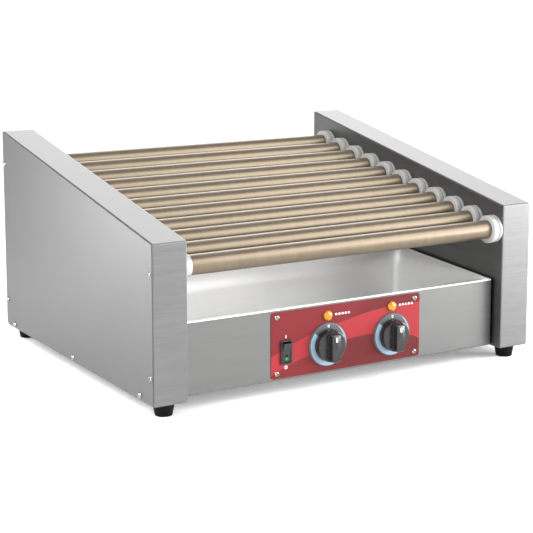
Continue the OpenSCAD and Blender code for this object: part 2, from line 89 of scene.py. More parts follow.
def add_node(tree, kind, settings=None, links=None):
    """Adds a node. settings names its properties and sockets, links its sockets' sources."""
    node = tree.nodes.new(kind)
    for name, value in (settings or {}).items():
        if isinstance(name, str) and hasattr(node, name):
            setattr(node, name, value)
        else:
            node.inputs[name].default_value = value
    for name, source in (links or {}).items():
        tree.links.new(source, node.inputs[name])
    return node


def new_material(name, **constants):
    """A material and its shader, with constants such as Metallic set on the shader's sockets."""
    material = bpy.data.materials.new(name)
    material.use_nodes = True
    shader = material.node_tree.nodes["Principled BSDF"]
    for socket, value in constants.items():
        shader.inputs[socket.replace("_", " ")].default_value = value
    return material, material.node_tree, shader


# %% [markdown]
# Most finishes here are one colour that drifts a little, a roughness that drifts with it and a
# fine relief. One noise pattern in object space gives all three. Its grain is a real size in
# millimetres, and stretching it in one direction turns it into brush strokes.

# %% A finish from one noise pattern
def drifting_finish(name, dark, light, rough, grain_mm, relief_mm=0.0, stretch=(1, 1, 1),
                    **constants):
    """dark and light are hex colours, rough the lowest and highest roughness."""
    material, tree, shader = new_material(name, **constants)
    place = add_node(tree, "ShaderNodeTexCoord")
    stretched = add_node(tree, "ShaderNodeMapping", {"Scale": stretch},
                         {"Vector": place.outputs["Object"]})
    noise = add_node(tree, "ShaderNodeTexNoise", {"Scale": 1 / (grain_mm * MM), "Detail": 3},
                     {"Vector": stretched.outputs[0]})
    tone = add_node(tree, "ShaderNodeMix", {"data_type": "RGBA", 6: srgb(dark), 7: srgb(light)},
                    {0: noise.outputs[0]})
    gloss = add_node(tree, "ShaderNodeMapRange", {3: rough[0], 4: rough[1]}, {0: noise.outputs[0]})
    tree.links.new(tone.outputs[2], shader.inputs["Base Color"])
    tree.links.new(gloss.outputs[0], shader.inputs["Roughness"])
    if relief_mm:
        bump = add_node(tree, "ShaderNodeBump", {"Distance": relief_mm * MM, "Strength": 1},
                        {"Height": noise.outputs[0]})
        tree.links.new(bump.outputs[0], shader.inputs["Normal"])
    return material


# %% [markdown]
# ## Brushed stainless sheet
# The housings and the panels are stainless sheet, ground with an abrasive belt. The belt leaves
# fine parallel scratches, which run sideways on the fronts and tops and from front to rear on the
# housings' sides. The outer covers have a finer grind that runs upright. Real scratches are about
# 0.1 mm wide, too fine to show from here, so they are drawn about 1 mm wide, over wider and
# fainter bands. The direction comes from which way a face looks.

# %% Brushed stainless
drawn_out = 0.03    # a pattern scaled by this in one direction is about 33 times longer that way


def brushed_stainless(name, dark, light, rough, on_sides=(1, drawn_out, 1), relief=0.5):
    """on_sides scales the scratch pattern on the faces that look left or right."""
    material, tree, shader = new_material(name, Metallic=1.0)
    place = add_node(tree, "ShaderNodeTexCoord")
    facing = add_node(tree, "ShaderNodeSeparateXYZ", links={0: place.outputs["Normal"]})
    sideways = add_node(tree, "ShaderNodeMath", {"operation": "ABSOLUTE"}, {0: facing.outputs[0]})
    on_side = add_node(tree, "ShaderNodeMath", {"operation": "GREATER_THAN", 1: 0.5},
                       {0: sideways.outputs[0]})
    layers = []
    for scratch_mm, length in ((0.9, 0.025), (7, 0.05)):
        strokes = []
        for stretch in ((length, 1, 1), [min(1, s * length / drawn_out) for s in on_sides]):
            stretched = add_node(tree, "ShaderNodeMapping", {"Scale": stretch},
                                 {"Vector": place.outputs["Object"]})
            strokes.append(add_node(tree, "ShaderNodeTexNoise",
                                    {"Scale": 1 / (scratch_mm * MM), "Detail": 2},
                                    {"Vector": stretched.outputs[0]}))
        layers.append(add_node(tree, "ShaderNodeMix", {"data_type": "FLOAT"},
                               {0: on_side.outputs[0], 2: strokes[0].outputs[0],
                                3: strokes[1].outputs[0]}))
    both = add_node(tree, "ShaderNodeMix", {"data_type": "FLOAT", 0: 0.28},
                    {2: layers[0].outputs[0], 3: layers[1].outputs[0]})
    spread = add_node(tree, "ShaderNodeMapRange", {1: 0.3, 2: 0.7}, {0: both.outputs[0]})
    tone = add_node(tree, "ShaderNodeMix", {"data_type": "RGBA", 6: srgb(dark), 7: srgb(light)},
                    {0: spread.outputs[0]})
    gloss = add_node(tree, "ShaderNodeMapRange", {1: 0.3, 2: 0.7, 3: rough[0], 4: rough[1]},
                     {0: both.outputs[0]})
    bump = add_node(tree, "ShaderNodeBump", {"Distance": 0.02 * MM, "Strength": relief},
                    {"Height": layers[0].outputs[0]})
    tree.links.new(tone.outputs[2], shader.inputs["Base Color"])
    tree.links.new(gloss.outputs[0], shader.inputs["Roughness"])
    tree.links.new(bump.outputs[0], shader.inputs["Normal"])
    return material


housing_steel = brushed_stainless("brushed_stainless_housing", "#6D6D6D", "#787878", (0.39, 0.45))
cover_steel = brushed_stainless("fine_ground_stainless_cover", "#6B6B6B", "#707070", (0.34, 0.40),
                                (1, 1, drawn_out), 0.2)
panel_steel = brushed_stainless("brushed_stainless_panel", "#6E6E6E", "#747473", (0.39, 0.44))
print("steels:", housing_steel.name, panel_steel.name)

# %% [markdown]
# ## Helpers for shapes
# Folded sheet has no sharp corners: each bend has a small radius that catches the light, and each
# cut edge is lightly broken. A CAD node has the sheets but not those radii, so a copy of it is
# merged into clean faces and bevelled: wide along the long bends, narrow along cut edges.

# %% Settle a finished piece
def settle(piece, material, *stands_for):
    """Sets a piece's material, if given, and its body from the nodes it replaces, and hides them.
    """
    if material:
        piece.data.materials.clear()
        piece.data.materials.append(material)
    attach(piece, body_of[stands_for[0]])
    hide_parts(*stands_for)
    return piece


def add_to(piece, material, body):
    """Gives a material and a body to a piece that stands for no CAD node."""
    piece.data.materials.clear()
    piece.data.materials.append(material)
    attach(piece, body)
    return piece


def piece_from(name, bm, crease=35):
    """Makes an object of a bmesh, smooth except where faces meet at more than crease degrees."""
    mesh = bpy.data.meshes.new(name)
    bm.to_mesh(mesh)
    bm.free()
    mesh.shade_smooth()
    mesh.set_sharp_from_angle(angle=math.radians(crease))
    piece = bpy.data.objects.new(name, mesh)
    bpy.context.scene.collection.objects.link(piece)
    return piece


# %% Bevelled copy of a sheet-metal node
def narrowest(face):
    return face.calc_area() / max(edge.calc_length() for edge in face.edges)


def folded(name, node, material, bend=1.1, broken=0.3, thin=2.6, shortest=2.2):
    """A copy of a CAD node with rounded bends and broken edges. Sizes are in millimetres.

    An edge of a face narrower than thin gets the small broken edge, every other edge gets the
    full bend, and an edge shorter than shortest stays sharp.
    """
    bm = bmesh.new()
    bm.from_mesh(nodes[node].data)
    bmesh.ops.remove_doubles(bm, verts=bm.verts, dist=0.01 * MM)
    bmesh.ops.dissolve_limit(bm, angle_limit=math.radians(1), verts=bm.verts, edges=bm.edges)
    weight = bm.edges.layers.float.new("bevel_weight_edge")
    for edge in bm.edges:
        if len(edge.link_faces) != 2 or edge.calc_length() < shortest * MM:
            continue
        if edge.calc_face_angle(0) < math.radians(40) or not edge.is_convex:
            continue
        slim = min(narrowest(face) for face in edge.link_faces) < thin * MM
        edge[weight] = broken / bend if slim else 1
    piece = piece_from(name, bm)
    bevel = piece.modifiers.new("edges", "BEVEL")
    bevel.limit_method = "WEIGHT"
    bevel.width = bend * MM
    bevel.segments = 3
    bevel.use_clamp_overlap = False
    bevel.harden_normals = True
    return settle(piece, material, node)


housing_bend, cover_bend = 1.8, 0.6
for node, material in (("left_side_frame", housing_steel), ("right_side_frame", housing_steel),
                       ("left_side_cover", cover_steel), ("right_side_cover", cover_steel),
                       ("front_panel", panel_steel), ("rear_panel", panel_steel),
                       ("base_pan", panel_steel)):
    folded(node + "_sheet", node, material, bend=cover_bend if "cover" in node else housing_bend)
print("folded sheet pieces made")

# %% [markdown]
# ## Turned and moulded round parts
# Tubes, bushings, rings, feet and lamp domes are all a profile turned about an axis. The corners
# of the profile are rounded first, which gives the edge radii that turned and moulded parts have.

# %% Rounding a profile and turning it
def rounded_profile(points, radius, steps=3):
    """Rounds the inner corners of a line of (radius, height) points, in millimetres."""
    path = [Vector(points[0])]
    for before, corner, after in zip(points, points[1:], points[2:]):
        corner = Vector(corner)
        to_before, to_after = Vector(before) - corner, Vector(after) - corner
        cut = min(radius, to_before.length * 0.45, to_after.length * 0.45)
        start = corner + to_before.normalized() * cut
        end = corner + to_after.normalized() * cut
        for k in range(steps + 1):
            t = k / steps
            path.append(start * (1 - t) ** 2 + corner * 2 * t * (1 - t) + end * t ** 2)
    return path + [Vector(points[-1])]


def turned_bmesh(profile, segments=48, closed=False):
    """Turns (radius, height) points in millimetres about +Z into a bmesh, in metres."""
    bm = bmesh.new()
    rings = []
    for radius, height in profile:
        if radius < 1e-4:
            rings.append([bm.verts.new((0, 0, height * MM))] * segments)
            continue
        rings.append([bm.verts.new((radius * MM * math.cos(a), radius * MM * math.sin(a),
                                    height * MM))
                      for a in (2 * math.pi * k / segments for k in range(segments))])
    pairs = list(zip(rings, rings[1:])) + ([(rings[-1], rings[0])] if closed else [])
    for low, high in pairs:
        for k in range(segments):
            corners = [low[k], low[(k + 1) % segments], high[(k + 1) % segments], high[k]]
            unique = list(dict.fromkeys(corners))
            if len(unique) > 2:
                bm.faces.new(unique)
    bmesh.ops.recalc_face_normals(bm, faces=bm.faces)
    return bm


def axis_turn(direction):
    """The turn that brings +Z to a direction."""
    return Vector((0, 0, 1)).rotation_difference(Vector(direction)).to_matrix().to_4x4()


def turned(name, profile, centre, direction, segments=48, closed=False, crease=35):
    bm = turned_bmesh(profile, segments, closed)
    bm.transform(Matrix.Translation(centre) @ axis_turn(direction))
    return piece_from(name, bm, crease)


# %% [markdown]
# ## Rollers
# Each roller is a 25.4 mm steel tube with a champagne non-stick coating, sprayed and baked. The
# coating is satin: a soft bright band along each tube, slightly warmer and darker at its edges,
# with faint bands round the tube where the spray gun paused. The pattern turns with its tube.

# %% Champagne coating and the eleven tubes
def champagne_coating():
    material, tree, shader = new_material("champagne_nonstick_coating", Metallic=0.8,
                                          Coat_Weight=0.15, Coat_Roughness=0.45)
    place = add_node(tree, "ShaderNodeTexCoord")
    across = add_node(tree, "ShaderNodeMapping", {"Scale": (1, 0.12, 0.12)},
                      {"Vector": place.outputs["Object"]})
    bands = add_node(tree, "ShaderNodeTexNoise", {"Scale": 1 / (9 * MM), "Detail": 4},
                     {"Vector": across.outputs[0]})
    grit = add_node(tree, "ShaderNodeTexNoise", {"Scale": 1 / (0.8 * MM), "Detail": 2},
                    {"Vector": place.outputs["Object"]})
    mixed = add_node(tree, "ShaderNodeMix", {"data_type": "FLOAT", 0: 0.35},
                     {2: bands.outputs[0], 3: grit.outputs[0]})
    tone = add_node(tree, "ShaderNodeMix", {"data_type": "RGBA", 6: srgb("#655947"),
                                            7: srgb("#7D7262")}, {0: mixed.outputs[0]})
    gloss = add_node(tree, "ShaderNodeMapRange", {3: 0.32, 4: 0.44}, {0: mixed.outputs[0]})
    bump = add_node(tree, "ShaderNodeBump", {"Distance": 0.02 * MM, "Strength": 1},
                    {"Height": grit.outputs[0]})
    tree.links.new(tone.outputs[2], shader.inputs["Base Color"])
    tree.links.new(gloss.outputs[0], shader.inputs["Roughness"])
    tree.links.new(bump.outputs[0], shader.inputs["Normal"])
    return material


coating = champagne_coating()
roller_names = [f"{i:02d}" for i in range(1, 12)]
roller_axes = []
tube_wall, outer_chamfer, inner_chamfer = 1.5, 0.3, 0.4
for number in roller_names:
    low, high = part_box("roller_tube_" + number)
    roller_axes.append((low + high) / 2)
    outer = (high.z - low.z) / 2 / MM
    inner = outer - tube_wall
    half = (high.x - low.x) / 2 / MM
    loop = [(inner, -half), (inner + inner_chamfer, -half), (outer - outer_chamfer, -half),
            (outer, -half + outer_chamfer), (outer, half - outer_chamfer),
            (outer - outer_chamfer, half), (inner + inner_chamfer, half), (inner, half)]
    tube = turned("coated_tube_" + number, loop, roller_axes[-1], (1, 0, 0), 56, closed=True)
    settle(tube, coating, "roller_tube_" + number)
print("tubes:", len(roller_axes), "pitch", round((roller_axes[1] - roller_axes[0]).length / MM, 2))

# %% [markdown]
# ## Geometry Nodes for what repeats
# Screws, bushings and printed dots are the same shape again and again, so a node tree places
# them: it puts an instance of a small mesh on every given point, turns it as that point says,
# makes the instances real and sets their material. The result is turned into a plain mesh.

# %% The trees and how they are run
def new_tree(name, inputs):
    """A Geometry Nodes tree with a geometry input and output and the named inputs."""
    tree = bpy.data.node_groups.new(name, "GeometryNodeTree")
    tree.interface.new_socket("Geometry", in_out="INPUT", socket_type="NodeSocketGeometry")
    tree.interface.new_socket("Geometry", in_out="OUTPUT", socket_type="NodeSocketGeometry")
    for label, kind in inputs:
        tree.interface.new_socket(label, in_out="INPUT", socket_type="NodeSocket" + kind)
    return tree, add_node(tree, "NodeGroupInput"), add_node(tree, "NodeGroupOutput")


def end_tree(tree, ends, start, instances):
    real = add_node(tree, "GeometryNodeRealizeInstances", links={0: instances})
    painted = add_node(tree, "GeometryNodeSetMaterial",
                       links={0: real.outputs[0], "Material": start.outputs["Material"]})
    tree.links.new(painted.outputs[0], ends.inputs[0])


def grown(name, tree, values, points=((0, 0, 0),), turns=None):
    """Runs a tree on loose points, each with its own turn, and returns the result as a piece."""
    mesh = bpy.data.meshes.new(name)
    mesh.from_pydata([tuple(p) for p in points], [], [])
    if turns:
        attribute = mesh.attributes.new("turn", "FLOAT_VECTOR", "POINT")
        for k, turn in enumerate(turns):
            attribute.data[k].vector = turn
    carrier = bpy.data.objects.new(name + "_points", mesh)
    bpy.context.scene.collection.objects.link(carrier)
    modifier = carrier.modifiers.new("tree", "NODES")
    modifier.node_group = tree
    for item in tree.interface.items_tree:
        if item.name in values and item.in_out == "INPUT":
            modifier[item.identifier] = values[item.name]
    evaluated = carrier.evaluated_get(bpy.context.evaluated_depsgraph_get())
    result = bpy.data.meshes.new_from_object(evaluated)
    result.name = name
    carrier.modifiers.clear()
    bpy.data.objects.remove(carrier)
    piece = bpy.data.objects.new(name, result)
    bpy.context.scene.collection.objects.link(piece)
    return piece


def placing_tree():
    """Puts one shape on every point, turned as the point's turn attribute says."""
    tree, start, ends = new_tree("shape_on_points", (("Shape", "Object"), ("Size", "Float"),
                                                     ("Material", "Material")))
    shape = add_node(tree, "GeometryNodeObjectInfo", links={"Object": start.outputs["Shape"]})
    turn = add_node(tree, "GeometryNodeInputNamedAttribute",
                    {"data_type": "FLOAT_VECTOR", "Name": "turn"})
    placed = add_node(tree, "GeometryNodeInstanceOnPoints", links={
        "Points": start.outputs["Geometry"], "Instance": shape.outputs["Geometry"],
        "Rotation": turn.outputs[0], "Scale": start.outputs["Size"]})
    end_tree(tree, ends, start, placed.outputs[0])
    return tree


def row_tree():
    """Puts a shape at equal steps along a straight line."""
    tree, start, ends = new_tree("shapes_in_a_row", (("Shape", "Object"), ("Count", "Int"),
                                                     ("Start", "Vector"), ("Step", "Vector"),
                                                     ("Material", "Material")))
    line = add_node(tree, "GeometryNodeMeshLine", links={
        "Count": start.outputs["Count"], "Start Location": start.outputs["Start"],
        "Offset": start.outputs["Step"]})
    shape = add_node(tree, "GeometryNodeObjectInfo", links={"Object": start.outputs["Shape"]})
    placed = add_node(tree, "GeometryNodeInstanceOnPoints", links={
        "Points": line.outputs[0], "Instance": shape.outputs["Geometry"]})
    end_tree(tree, ends, start, placed.outputs[0])
    return tree


on_points = placing_tree()
in_a_row = row_tree()
print("trees:", on_points.name, in_a_row.name)

# %% [markdown]
# ## Bushings
# White PTFE bushings carry the tubes. The right ones are two rings with a groove between them,
# and the left ones are thin sleeves with a low flange. PTFE is waxy and slightly translucent.
# Each outline is (radius, depth) from the wall's face, and a depth below 0 stands out of the wall.

# %% PTFE and the two kinds of bushing
ptfe = drifting_finish("white_ptfe", "#A6A6A4", "#B6B6B4", (0.38, 0.5), 2.5, 0.01,
                       Subsurface_Weight=0.15, Subsurface_Scale=0.002)
wall_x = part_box("right_side_frame")[0].x / MM
pitch_step = roller_axes[1] - roller_axes[0]
bore = 12.75
ring_loop = rounded_profile([(bore, -14), (bore, -14), (19, -14), (19, -5.5), (17, -5.5),
                             (17, -4.3), (19, -4.3), (19, 0), (15.5, 0), (15.5, 4), (bore, 4)],
                            0.9)
sleeve_loop = rounded_profile([(bore, -10.2), (bore, -10.2), (14, -10.2), (14, -1.5), (17, -1.5),
                               (17, 0), (15.5, 0), (15.5, 4), (bore, 4)], 0.5)
bushing_rows = []
for label, loop, side in (("ring", ring_loop, 1), ("sleeve", sleeve_loop, -1)):
    single = turned(label + "_bushing", loop, (0, 0, 0), (side, 0, 0), 40, closed=True)
    start = Vector((side * wall_x * MM, roller_axes[0].y, roller_axes[0].z))
    bushing_rows.append(grown(label + "_bushings", in_a_row, {
        "Shape": single, "Count": len(roller_axes), "Start": start, "Step": pitch_step,
        "Material": ptfe}))
    bpy.data.objects.remove(single)
settle(bushing_rows[0], None, "roller_bushings")
settle(bushing_rows[1], None, "roller_bushings")
print("bushings made; wall at", round(wall_x, 1), "mm")

# %% [markdown]
# ## Screws
# The covers, the plate and the panels are held by nickel-plated pan-head screws with a cross
# recess. The head is a dome of rings of points, and its recess is two crossing slots with sloping
# walls, made by pushing down the points near its middle that lie within a cross.

# %% One cross-recess pan head
def pan_head(radius, height, rings=7, segments=32):
    """A dome above Z = 0 whose middle is pressed in along a cross."""
    bm = bmesh.new()
    steps = [0] + [radius * k / rings for k in range(1, rings)] + [radius * 0.97, radius]
    slot_half, slot_reach, slot_deep = 0.13 * radius, 0.5 * radius, 0.5 * height
    loops = []
    for r in steps[1:]:
        z = height * max(0.2, math.sqrt(max(0, 1 - (r / radius) ** 2.6)))
        ring = []
        for k in range(segments):
            a = 2 * math.pi * k / segments
            x, y = r * math.cos(a), r * math.sin(a)
            arm = min(abs(x), abs(y)) < slot_half and max(abs(x), abs(y)) < slot_reach
            ring.append(bm.verts.new((x * MM, y * MM, (z - (slot_deep if arm else 0)) * MM)))
        loops.append(ring)
    foot = [bm.verts.new((v.co.x, v.co.y, -0.05 * MM)) for v in loops[-1]]
    middle = bm.verts.new((0, 0, 0.45 * height * MM))
    for k in range(segments):
        nxt = (k + 1) % segments
        bm.faces.new((middle, loops[0][k], loops[0][nxt]))
        for inner, outer in zip(loops, loops[1:] + [foot]):
            bm.faces.new((inner[k], outer[k], outer[nxt], inner[nxt]))
    bm.faces.new(foot)
    bmesh.ops.recalc_face_normals(bm, faces=bm.faces)
    return bm


nickel = drifting_finish("nickel_plated_screw", "#85817B", "#B0ACA5", (0.16, 0.28), 1.2, 0.01,
                         Metallic=1.0)


def loose_centres(node):
    """The middle of each separate solid of a CAD node."""
    bm = bmesh.new()
    bm.from_mesh(nodes[node].data)
    bmesh.ops.remove_doubles(bm, verts=bm.verts, dist=0.01 * MM)
    boxes, seen = [], set()
    for seed in bm.verts:
        if seed in seen:
            continue
        group, edge = [], [seed]
        seen.add(seed)
        while edge:
            vert = edge.pop()
            group.append(vert.co.copy())
            for link in vert.link_edges:
                other = link.other_vert(vert)
                if other not in seen:
                    seen.add(other)
                    edge.append(other)
        boxes.append((Vector([min(p[k] for p in group) for k in range(3)]),
                      Vector([max(p[k] for p in group) for k in range(3)])))
    bm.free()
    return boxes


# %% Screws on every screw node
def heads(name, node, radius, height, direction_of):
    """Puts a head on each solid of a screw node, at its outer end less the head's height."""
    points, turns = [], []
    for number, (low, high) in enumerate(loose_centres(node)):
        way = Vector(direction_of(low, high))
        seat = (low + high) / 2
        for k in range(3):
            if way[k]:
                seat[k] = high[k] - height * MM if way[k] > 0 else low[k] + height * MM
        points.append(seat)
        # Driven screws stop at different turns, so each cross is turned a little further.
        spin = Matrix.Rotation(0.35 + 0.9 * number, 4, way)
        turns.append(tuple((spin @ axis_turn(way)).to_euler()))
    single = piece_from(name + "_single", pan_head(radius, height), 25)
    piece = grown(name, on_points, {"Shape": single, "Size": 1.0, "Material": nickel},
                  points, turns)
    bpy.data.objects.remove(single)
    print(name, len(points))
    return settle(piece, None, node)


def cover_screw_way(low, high):
    return (1 if low.x > 0 else -1, 0, 0)


def panel_screw_way(low, high):
    """Which way a screw's head looks, from its longest side: down, to the rear or inwards."""
    size = high - low
    if size.z > size.x and size.z > size.y:
        return (0, 0, -1)
    if size.y > size.x:
        return (0, 1, 0)
    return (-1 if low.x > 0 else 1, 0, 0)


heads("cover_screw_heads", "cover_screws", 3.8, 2.4, cover_screw_way)
heads("plate_screw_heads", "control_plate_screws", 3.6, 2.4, lambda low, high: (0, -1, 0))
heads("panel_screw_heads", "panel_screws", 3.3, 2.2, panel_screw_way)
heads("foot_screw_heads", "foot_screws", 4.6, 3, lambda low, high: (0, 0, -1))

# %% [markdown]
# ## Drip tray
# The tray is drawn from thin satin stainless sheet: walls that meet in wide round corners at the
# rear, a floor that falls to the rear, and a small bead rolled along the rim. It is made as a
# line round its plan, lifted into a wall, given a thickness, with the bead swept along its rim.
# Its colour is painted light: it is far paler than the other stainless, standing in for the light
# that reaches the tray in the shade under the rollers.

# %% The tray's outline and walls
# Painted light: this base colour is far paler than the other stainless, to stand in for light under
# the rollers.
painted_bright_tray_steel = drifting_finish("satin_stainless_painted_bright", "#ECECEB", "#F3F3F2", (0.5, 0.58), 6, 0.01,
                             stretch=(0.15, 1, 1), Metallic=0.6)
low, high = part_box("drip_tray")
tray_wall = 1.0
rim_front = 112.8
rim_drop, floor_drop = 0.2, 1.2
rim_rise = math.tan(math.radians(3))
floor_fall = math.tan(math.radians(17))
tray_front_y, tray_rear_y, tray_half = low.y / MM, high.y / MM, high.x / MM


def rim_height(y):
    return rim_front - rim_drop + (y - tray_front_y) * rim_rise


def floor_height(y):
    return rim_front - floor_drop - (y - tray_front_y) * floor_fall


def tray_plan(inset, corner):
    """The plan from the front right round to the front left, with round rear corners."""
    half, rear = tray_half - inset, tray_rear_y - inset
    step = (rear - corner - tray_front_y - 1) / 8
    points = [(half, tray_front_y + 1 + k * step) for k in range(8)]
    points += [(half - corner + corner * math.cos(a), rear - corner + corner * math.sin(a))
               for a in (math.pi / 2 * k / 10 for k in range(11))]
    return points + [(-x, y) for x, y in reversed(points)]


bm = bmesh.new()
columns = []
fillet, plan_inset, rear_corner = 9, 0.6, 14
outside = tray_plan(plan_inset, rear_corner)
inside = tray_plan(plan_inset + fillet, rear_corner - fillet)
for (x, y), (inner_x, inner_y) in zip(outside, inside):
    column = []
    top, base = rim_height(y), floor_height(y)
    # The fillet flattens towards the front, where the wall is too low for all of it.
    deep = min(1.0, max(0.05, (top - base) / (2 * fillet)))
    for level in (0, 0.5, 1):
        z = top + (base + fillet * deep - top) * level
        column.append(bm.verts.new((x * MM, y * MM, z * MM)))
    for k in range(1, 5):
        a = math.pi / 2 * k / 4
        t = (1 - math.cos(a)) * deep
        in_y = y + (inner_y - y) * t
        column.append(bm.verts.new(((x + (inner_x - x) * t) * MM, in_y * MM,
                                    (floor_height(in_y) + fillet * deep * (1 - math.sin(a))) * MM)))
    columns.append(column)
for left, right in zip(columns, columns[1:]):
    for k in range(len(left) - 1):
        bm.faces.new((left[k], left[k + 1], right[k + 1], right[k]))
bm.faces.new([column[-1] for column in columns])
bmesh.ops.recalc_face_normals(bm, faces=bm.faces)
for face in bm.faces:
    if len(face.verts) > 4 and face.normal.z < 0:
        bmesh.ops.reverse_faces(bm, faces=bm.faces)
        break
tray = piece_from("drip_tray_shell", bm, 40)
wall = tray.modifiers.new("sheet", "SOLIDIFY")
wall.thickness = tray_wall * MM
wall.offset = -0.2
settle(tray, painted_bright_tray_steel, "drip_tray")


# %% The rolled bead along the rim
def swept(name, path, radius, sides=8):
    """A round bar along a path of points in metres, closed at its ends."""
    bm = bmesh.new()
    rings = []
    for k, point in enumerate(path):
        ahead = path[min(k + 1, len(path) - 1)] - path[max(k - 1, 0)]
        side = ahead.cross(Vector((0, 0, 1))).normalized()
        up = side.cross(ahead).normalized()
        rings.append([bm.verts.new(point + radius * (side * math.cos(a) + up * math.sin(a)))
                      for a in (2 * math.pi * n / sides for n in range(sides))])
    for a, b in zip(rings, rings[1:]):
        for n in range(sides):
            bm.faces.new((a[n], a[(n + 1) % sides], b[(n + 1) % sides], b[n]))
    bm.faces.new(rings[0])
    bm.faces.new(rings[-1])
    bmesh.ops.recalc_face_normals(bm, faces=bm.faces)
    return piece_from(name, bm, 60)


bead_radius, lip_radius = 0.85, 1.0
rim_path = [Vector((x, y, rim_height(y) - 0.7)) * MM for x, y in tray_plan(0.9, 13.7)]
add_to(swept("tray_rim_bead", rim_path, bead_radius * MM), painted_bright_tray_steel, "tray")
lip_path = [Vector((x, tray_front_y + 1.1, rim_front - 0.9)) * MM
            for x in (-tray_half + 2, -tray_half / 2, 0, tray_half / 2, tray_half - 2)]
add_to(swept("tray_front_lip", lip_path, lip_radius * MM), painted_bright_tray_steel, "tray")
print("tray:", round(2 * tray_half, 1), "mm wide, rim at", rim_front, "mm")

# %% [markdown]
# ## Control plate
# A thin steel plate carries a screen-printed overlay: a coral ribbon sweeps across two tones of
# dark red. The ribbon's two edges are curves of height against width, in the plate's own
# coordinates, and the ink is satin with a faint orange-peel relief.

# %% Red overlay print
plate_low, plate_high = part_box("control_plate")
RIBBON_TOP = ((0.0, 0.34), (0.26, 0.60), (0.51, 0.745), (0.70, 0.83), (0.94, 0.855), (1.0, 0.86))
RIBBON_LOW = ((0.0, 0.06), (0.26, 0.30), (0.51, 0.44), (0.70, 0.455), (0.94, 0.345), (1.0, 0.27))


def red_overlay():
    material, tree, shader = new_material("screen_printed_overlay", Specular_IOR_Level=0.25)
    place = add_node(tree, "ShaderNodeTexCoord")
    on_plate = add_node(tree, "ShaderNodeMapping", {
        "vector_type": "TEXTURE", "Location": plate_low,
        "Scale": (plate_high.x - plate_low.x, 1, plate_high.z - plate_low.z)},
        {"Vector": place.outputs["Object"]})
    across = add_node(tree, "ShaderNodeSeparateXYZ", links={0: on_plate.outputs[0]})
    inside = []
    for edge, sign in ((RIBBON_TOP, -1), (RIBBON_LOW, 1)):
        line = add_node(tree, "ShaderNodeFloatCurve", links={"Value": across.outputs[0]})
        curve = line.mapping.curves[0]
        curve.points[0].location, curve.points[1].location = edge[0], edge[-1]
        for point in edge[1:-1]:
            curve.points.new(*point)
        line.mapping.update()
        above = add_node(tree, "ShaderNodeMath", {"operation": "SUBTRACT"},
                         {0: across.outputs[2], 1: line.outputs[0]})
        inside.append(add_node(tree, "ShaderNodeMapRange", {1: -0.004 * sign, 2: 0.004 * sign},
                               {0: above.outputs[0]}))
    ribbon = add_node(tree, "ShaderNodeMath", {"operation": "MULTIPLY"},
                      {0: inside[0].outputs[0], 1: inside[1].outputs[0]})
    slant = add_node(tree, "ShaderNodeMath", {"operation": "MULTIPLY_ADD", 1: -0.35},
                     {0: across.outputs[2], 2: across.outputs[0]})
    side = add_node(tree, "ShaderNodeMapRange", {1: 0.20, 2: 0.34}, {0: slant.outputs[0]})
    ground = add_node(tree, "ShaderNodeMix", {"data_type": "RGBA", 6: srgb("#6C171C"),
                                              7: srgb("#5C1216")}, {0: side.outputs[0]})
    inks = add_node(tree, "ShaderNodeMix", {"data_type": "RGBA", 7: srgb("#91242A")},
                    {0: ribbon.outputs[0], 6: ground.outputs[2]})
    peel = add_node(tree, "ShaderNodeTexNoise", {"Scale": 1 / (1.6 * MM), "Detail": 2},
                    {"Vector": place.outputs["Object"]})
    tinted = add_node(tree, "ShaderNodeHueSaturation", links={"Color": inks.outputs[2]})
    level = add_node(tree, "ShaderNodeMapRange", {3: 0.96, 4: 1.04}, {0: peel.outputs[0]})
    gloss = add_node(tree, "ShaderNodeMapRange", {3: 0.36, 4: 0.46}, {0: peel.outputs[0]})
    bump = add_node(tree, "ShaderNodeBump", {"Distance": 0.01 * MM, "Strength": 1},
                    {"Height": peel.outputs[0]})
    tree.links.new(level.outputs[0], tinted.inputs["Value"])
    tree.links.new(tinted.outputs[0], shader.inputs["Base Color"])
    tree.links.new(gloss.outputs[0], shader.inputs["Roughness"])
    tree.links.new(bump.outputs[0], shader.inputs["Normal"])
    return material


overlay = red_overlay()
folded("control_plate_print", "control_plate", overlay, bend=0.25, broken=0.25, thin=0.1,
       shortest=0.3)
plate_face = plate_low.y

# %% [markdown]
# ## Printed marks
# Rows of white dots stand beside the lamps, with a bar and a ring for on and off round the
# switch. They are thin raised ink, 0.06 mm proud of the plate.

# %% Dots and switch marks
white_ink = drifting_finish("white_screen_ink", "#E9E4E2", "#F6F2F0", (0.4, 0.5), 0.8)
ink_proud = 0.06


def thickened(bm, offset):
    """Gives the flat faces of a bmesh a thickness, along an offset in metres."""
    moved = bmesh.ops.extrude_face_region(bm, geom=list(bm.faces))
    bmesh.ops.translate(bm, vec=offset,
                        verts=[v for v in moved["geom"] if isinstance(v, bmesh.types.BMVert)])
    bmesh.ops.recalc_face_normals(bm, faces=bm.faces)
    return bm


def ink_slab(name, outline, holes=(), y=None):
    """A thin slab of ink from (x, z) points in metres, on the plate or on a face at y."""
    bm = bmesh.new()
    face_y = plate_face if y is None else y
    verts = [bm.verts.new((x, face_y - ink_proud * MM, z)) for x, z in outline]
    if holes:
        inner = [bm.verts.new((x, face_y - ink_proud * MM, z)) for x, z in holes]
        count = len(verts)
        for k in range(count):
            bm.faces.new((verts[k], verts[(k + 1) % count], inner[(k + 1) % count], inner[k]))
    else:
        bm.faces.new(verts)
    return piece_from(name, thickened(bm, (0, (ink_proud + 0.02) * MM, 0)))


def circle_line(x, z, radius, count=24, start=0.0, stop=2 * math.pi):
    return [(x + radius * math.cos(start + (stop - start) * k / count),
             z + radius * math.sin(start + (stop - start) * k / count)) for k in range(count)]


